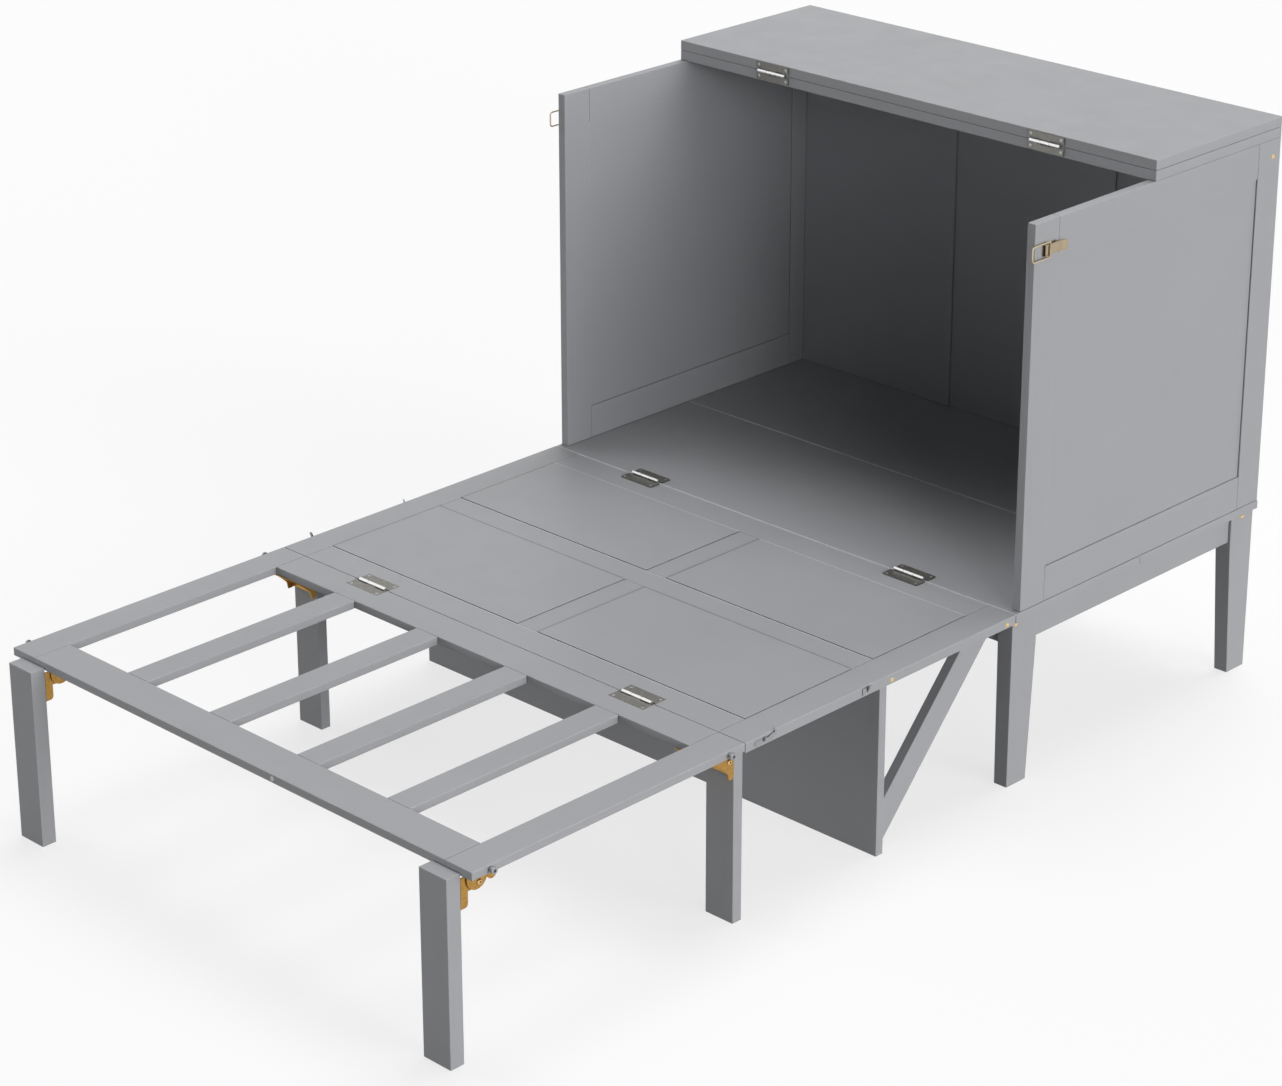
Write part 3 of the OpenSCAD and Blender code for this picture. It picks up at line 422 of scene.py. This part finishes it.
# Outlines of driver holes, as shares of a head's radius, and profiles of heads as (radius, height).
CROSS = [
    (a * cos(t) - b * sin(t), a * sin(t) + b * cos(t))
    for t in (0, pi / 2, pi, 3 * pi / 2)
    for a, b in ((0.16, -0.16), (0.52, -0.11), (0.52, 0.11))
]
HEX = [(0.5 * cos(k * pi / 3), 0.5 * sin(k * pi / 3)) for k in range(6)]
DOME = ((1.0, 0.0), (1.0, 0.25), (0.93, 0.55), (0.82, 0.80), (0.70, 1.0))
CAP = ((1.0, 0.0), (1.0, 0.86), (0.97, 0.96), (0.91, 1.0))
NUT = ((0.92, 0), (1, 0.12), (1, 0.88), (0.92, 1))
ROD = ((1, 0), (1, 1))
HOLE_TAPER = 0.8  # a driver hole's floor as a share of its mouth
SMOOTH_BELOW, SHARP_FROM = 1e-5, radians(35)  # which four-cornered faces are shaded smooth, which edges not


def turned(bm, at, axis, radius, height, rings, recess=None, depth=0.0, seg=32):
    """Adds one turned head: rings are shares of radius and height, recess the driver's hole in it."""
    turn = Vector(axis).to_track_quat("Z", "Y").to_matrix()
    at = Vector(at)

    def corner(x, y, z):
        return bm.verts.new(at + turn @ Vector((x, y, z)))

    angles = [2 * pi * i / seg for i in range(seg)]
    loops = [
        [corner(radius * r * cos(t), radius * r * sin(t), height * h) for t in angles] for r, h in rings
    ]
    for a, b in zip(loops, loops[1:]):
        for i in range(seg):
            bm.faces.new((a[i], a[(i + 1) % seg], b[(i + 1) % seg], b[i]))
    bm.faces.new(reversed(loops[0]))
    top = loops[-1]
    if recess is None:
        bm.faces.new(top)
        return
    z = height * rings[-1][1]
    hole = [corner(radius * x, radius * y, z) for x, y in recess]
    low = [corner(HOLE_TAPER * radius * x, HOLE_TAPER * radius * y, z - depth) for x, y in recess]
    n = len(hole)
    rim = [bm.edges.get((top[i], top[(i + 1) % seg])) for i in range(seg)]
    rim += [bm.edges.new((hole[i], hole[(i + 1) % n])) for i in range(n)]
    bmesh.ops.triangle_fill(bm, use_beauty=True, use_dissolve=False, edges=rim)
    for i in range(n):
        bm.faces.new((hole[i], hole[(i + 1) % n], low[(i + 1) % n], low[i]))
    bm.faces.new(low)


def heads(name, body, material, items, node=None):
    """One object of turned heads that rides a body; items are the arguments of turned()."""
    bm = bmesh.new()
    for item in items:
        turned(bm, **item)
    bmesh.ops.recalc_face_normals(bm, faces=bm.faces[:])
    for f in bm.faces:
        f.smooth = len(f.verts) == 4 and f.calc_area() < SMOOTH_BELOW
    me = bpy.data.meshes.new(name)
    bm.to_mesh(me)
    bm.free()
    me.set_sharp_from_angle(angle=SHARP_FROM)
    me.materials.append(material)
    obj = bpy.data.objects.new(name, me)
    scene.collection.objects.link(obj)
    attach(obj, body)
    if node:
        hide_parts(node)


def screws(name, node, joint, spread, normal):
    """Countersunk screws near the outer corners of a pair of leaves."""
    y, z = AXES[joint]
    items = []
    for side in (-1, 1):
        for end in (-1, 1):
            x = side * HINGE_X + end * (LEAF_L / 2 - SCREW_IN)
            at = (x, y + spread[0], z + spread[1])
            items.append(dict(
                at=at, axis=normal, radius=0.0027, height=0.0005, rings=DOME,
                recess=CROSS, depth=0.0004, seg=24
            ))
    heads(name, BODY[node], SCREW, items)


# Where the screws' heads sit, seen from the joint's axis: along the leaf, and on its outer face, which
# they are let into by SUNK.
SUNK = 0.00002
SCREW_OUT = LEAF_W - SCREW_IN
LIFT_FACE = -0.004 + LEAF_T - SUNK
FOLD_FACE = -0.00075 - SUNK
LID_FACE, LID_OUT = 0.0035 - LEAF_T + SUNK, 0.0105
UP, FORWARD = (0, 0, 1), (0, -1, 0)
screws("base_hinge_screws", "base_hinge_leaves", "mid_lift", (SCREW_OUT, LIFT_FACE), UP)
screws("mid_hinge_screws", "mid_hinge_leaves", "mid_lift", (-SCREW_OUT, LIFT_FACE), UP)
screws("fold_mid_screws", "fold_hinge_mid_leaves", "foot_fold", (SCREW_OUT, FOLD_FACE), UP)
screws("fold_foot_screws", "fold_hinge_foot_leaves", "foot_fold", (-SCREW_OUT, FOLD_FACE), UP)
screws("lid_hinge_screws", "lid_hinge_leaves", "lid_fold", (LID_FACE, -LID_OUT), FORWARD)
screws("flap_hinge_screws", "flap_hinge_leaves", "lid_fold", (LID_FACE, LID_OUT), FORWARD)

# The legs' bolts and the side knobs: where each stands along and above the bed, and where its parts
# begin, measured out from the bed's middle.
BOLT_Y, BOLT_Z = (-0.90535, -0.38335), 0.287
KNOB_Y, KNOB_Z = (-0.90385, -0.40685), 0.315
SHANK_X, HEAD_X, NUT_X = 0.4531, 0.5186, 0.4554
NECK_X, KNOB_X = 0.5401, 0.54668

items = []
for side in (-1, 1):
    out, inward = (side, 0, 0), (-side, 0, 0)
    for y in BOLT_Y:
        items.append(dict(
            at=(side * SHANK_X, y, BOLT_Z), axis=out, radius=0.0030, height=0.0655, rings=ROD
        ))
        items.append(dict(
            at=(side * HEAD_X, y, BOLT_Z), axis=out, radius=0.0045, height=0.0023, rings=DOME,
            recess=CROSS, depth=0.0012
        ))
        items.append(dict(
            at=(side * NUT_X, y, BOLT_Z), axis=inward, radius=0.0049, height=0.0024, rings=NUT, seg=6
        ))
heads("dressed_yoke_bolts", BODY["yoke_bolts"], BRASS, items, "yoke_bolts")

items = []
for side in (-1, 1):
    out = (side, 0, 0)
    for y in KNOB_Y:
        items.append(dict(
            at=(side * NECK_X, y, KNOB_Z), axis=out, radius=0.0035, height=0.0067, rings=ROD
        ))
        items.append(dict(
            at=(side * KNOB_X, y, KNOB_Z), axis=out, radius=0.00549, height=0.0035, rings=CAP,
            recess=HEX, depth=0.002
        ))
heads("dressed_knobs", BODY["foot_knobs"], ZINC, items, "foot_knobs")

# CAD nodes whose shape is kept, with their finish; the pins get the barrels' painted sheen.
CARRIED = {
    "left_wall_panel": PAINT, "right_wall_panel": PAINT, "back_panels": PAINT,
    "lid_hinge_pins": BARREL, "base_hinge_pins": BARREL, "fold_hinge_pins": BARREL,
    "cabinet_bolts": BRASS, "mid_bolts": BRASS, "rail_bolt": ZINC,
    "mid_keepers": ZINC, "hook_plates": ZINC, "hook_left": ZINC, "hook_right": ZINC,
    "draw_latch_plates": BRONZE, "latch_lever_left": BRONZE, "latch_lever_right": BRONZE,
    "latch_bail_left": WIRE, "latch_bail_right": WIRE,
    "end_leg_yokes": GOLD, "mid_leg_yokes": GOLD, "end_bracket_left": GOLD, "end_bracket_right": GOLD,
    "mid_bracket_left": GOLD, "mid_bracket_right": GOLD,
}
for name, material in CARRIED.items():
    me = NODES[name].data
    if me.materials:
        for i in range(len(me.materials)):
            me.materials[i] = material
    else:
        me.materials.append(material)

# Where the photograph was taken from, fitted to the corners of the boards in it. FOCAL and AXIS_ROW,
# the row that the lens points at, are in the photograph's pixels.
PHOTO_W, PHOTO_H = 1282, 1086
FOCAL, AXIS_ROW = 3518.0, 414.77
AZ, EL, ROLL = radians(44.373), radians(21.211), radians(-0.097)
EYE = Vector((3.78451, -3.91261, 2.72051))
SENSOR, FARTHEST = 36, 200

back = Vector((sin(AZ) * cos(EL), -cos(AZ) * cos(EL), sin(EL)))
right = Vector((cos(AZ), sin(AZ), 0))
up = right.cross(-back)
across = cos(ROLL) * right + sin(ROLL) * up
upward = -sin(ROLL) * right + cos(ROLL) * up
cam_data = bpy.data.cameras.new("camera")
cam_data.sensor_fit = "HORIZONTAL"
cam_data.sensor_width = SENSOR
cam_data.lens = FOCAL * SENSOR / PHOTO_W
cam_data.shift_y = (AXIS_ROW - PHOTO_H / 2) / PHOTO_W
cam_data.clip_end = FARTHEST
camera = bpy.data.objects.new("camera", cam_data)
camera.matrix_world = Matrix.Translation(EYE) @ Matrix((across, upward, back)).transposed().to_4x4()
scene.collection.objects.link(camera)
scene.camera = camera

# Soft lights in the sky: azimuth and elevation in degrees, sharpness, level. The first three light the
# front, the right side and the tops; the last two the left side and the back.
LOBES = (
    (-26.9, 11.9, 75.0, 11.7), (5.7, 13.2, 25.5, 9.4), (109.7, 72.3, 26.6, 8.9),
    (200.0, 4.0, 24.0, 8.8), (84.0, 4.0, 24.0, 8.2),
)
WHITE = (1, 1, 1, 1)
# The floor: half its side in metres, its grey for light that bounces off it and for the camera, and how
# much of the camera's view of it is plain white.
FLOOR_HALF, FLOOR_LIT, FLOOR_SEEN, FLOOR_WHITE = 40.0, 0.17, 0.94, 0.72


def shown(tree):
    """1 for rays that show the background itself: camera, glossy and transmission rays."""
    rays = tree.nodes.new("ShaderNodeLightPath")
    seen = rays.outputs["Is Camera Ray"]
    for kind in ("Is Glossy Ray", "Is Transmission Ray"):
        either = tree.nodes.new("ShaderNodeMath")
        either.operation = "MAXIMUM"
        tree.links.new(seen, either.inputs[0])
        tree.links.new(rays.outputs[kind], either.inputs[1])
        seen = either.outputs[0]
    return seen


def make_floor():
    """A pale floor, darker as light sees it, that keeps the bed's shadow."""
    me = bpy.data.meshes.new("floor")
    s = FLOOR_HALF
    me.from_pydata([(-s, -s, 0), (s, -s, 0), (s, s, 0), (-s, s, 0)], [], [(0, 1, 2, 3)])
    obj = bpy.data.objects.new("floor", me)
    scene.collection.objects.link(obj)
    m = bpy.data.materials.new("floor")
    m.use_nodes = True
    t = m.node_tree
    t.nodes.clear()
    out = t.nodes.new("ShaderNodeOutputMaterial")
    seen = shown(t)
    pale = t.nodes.new("ShaderNodeBsdfDiffuse")
    tone = t.nodes.new("ShaderNodeMix")
    tone.data_type = "RGBA"
    tone.inputs["A"].default_value = (FLOOR_LIT, FLOOR_LIT, FLOOR_LIT, 1)
    tone.inputs["B"].default_value = (FLOOR_SEEN, FLOOR_SEEN, FLOOR_SEEN, 1)
    t.links.new(seen, tone.inputs["Factor"])
    t.links.new(tone.outputs["Result"], pale.inputs["Color"])
    white = t.nodes.new("ShaderNodeEmission")
    white.inputs["Color"].default_value = WHITE
    white.inputs["Strength"].default_value = 1.0
    share = t.nodes.new("ShaderNodeMath")
    share.operation = "MULTIPLY"
    share.inputs[1].default_value = FLOOR_WHITE
    t.links.new(seen, share.inputs[0])
    both = t.nodes.new("ShaderNodeMixShader")
    t.links.new(share.outputs[0], both.inputs[0])
    t.links.new(pale.outputs[0], both.inputs[1])
    t.links.new(white.outputs[0], both.inputs[2])
    t.links.new(both.outputs[0], out.inputs["Surface"])
    me.materials.append(m)


def make_world():
    """White to the camera; as light, the five soft lights of LOBES in a dark room."""
    w = bpy.data.worlds.new("world")
    scene.world = w
    w.use_nodes = True
    t = w.node_tree
    t.nodes.clear()
    out = t.nodes.new("ShaderNodeOutputWorld")
    tc = t.nodes.new("ShaderNodeTexCoord")

    def math(kind, a, b):
        node = t.nodes.new("ShaderNodeMath")
        node.operation = kind
        for value, sock in ((a, node.inputs[0]), (b, node.inputs[1])):
            if hasattr(value, "is_output"):
                t.links.new(value, sock)
            else:
                sock.default_value = value
        return node.outputs[0]

    total = 0.0
    for az, el, power, level in LOBES:
        dp = t.nodes.new("ShaderNodeVectorMath")
        dp.operation = "DOT_PRODUCT"
        az, el = radians(az), radians(el)
        dp.inputs[1].default_value = (cos(az) * cos(el), sin(az) * cos(el), sin(el))
        t.links.new(tc.outputs["Generated"], dp.inputs[0])
        near = math("POWER", math("MAXIMUM", dp.outputs["Value"], 0.0), power)
        total = math("ADD", total, math("MULTIPLY", near, level))
    apart = t.nodes.new("ShaderNodeSeparateXYZ")
    t.links.new(tc.outputs["Generated"], apart.inputs[0])
    above = math("GREATER_THAN", apart.outputs["Z"], 0.0)
    sky = t.nodes.new("ShaderNodeBackground")
    sky.inputs["Color"].default_value = WHITE
    t.links.new(math("MULTIPLY", total, above), sky.inputs["Strength"])
    white = t.nodes.new("ShaderNodeBackground")
    white.inputs["Color"].default_value = WHITE
    white.inputs["Strength"].default_value = 1.0
    both = t.nodes.new("ShaderNodeMixShader")
    t.links.new(shown(t), both.inputs[0])
    t.links.new(sky.outputs[0], both.inputs[1])
    t.links.new(white.outputs[0], both.inputs[2])
    t.links.new(both.outputs[0], out.inputs["Surface"])


make_floor()
make_world()

scene.view_settings.view_transform = "Standard"
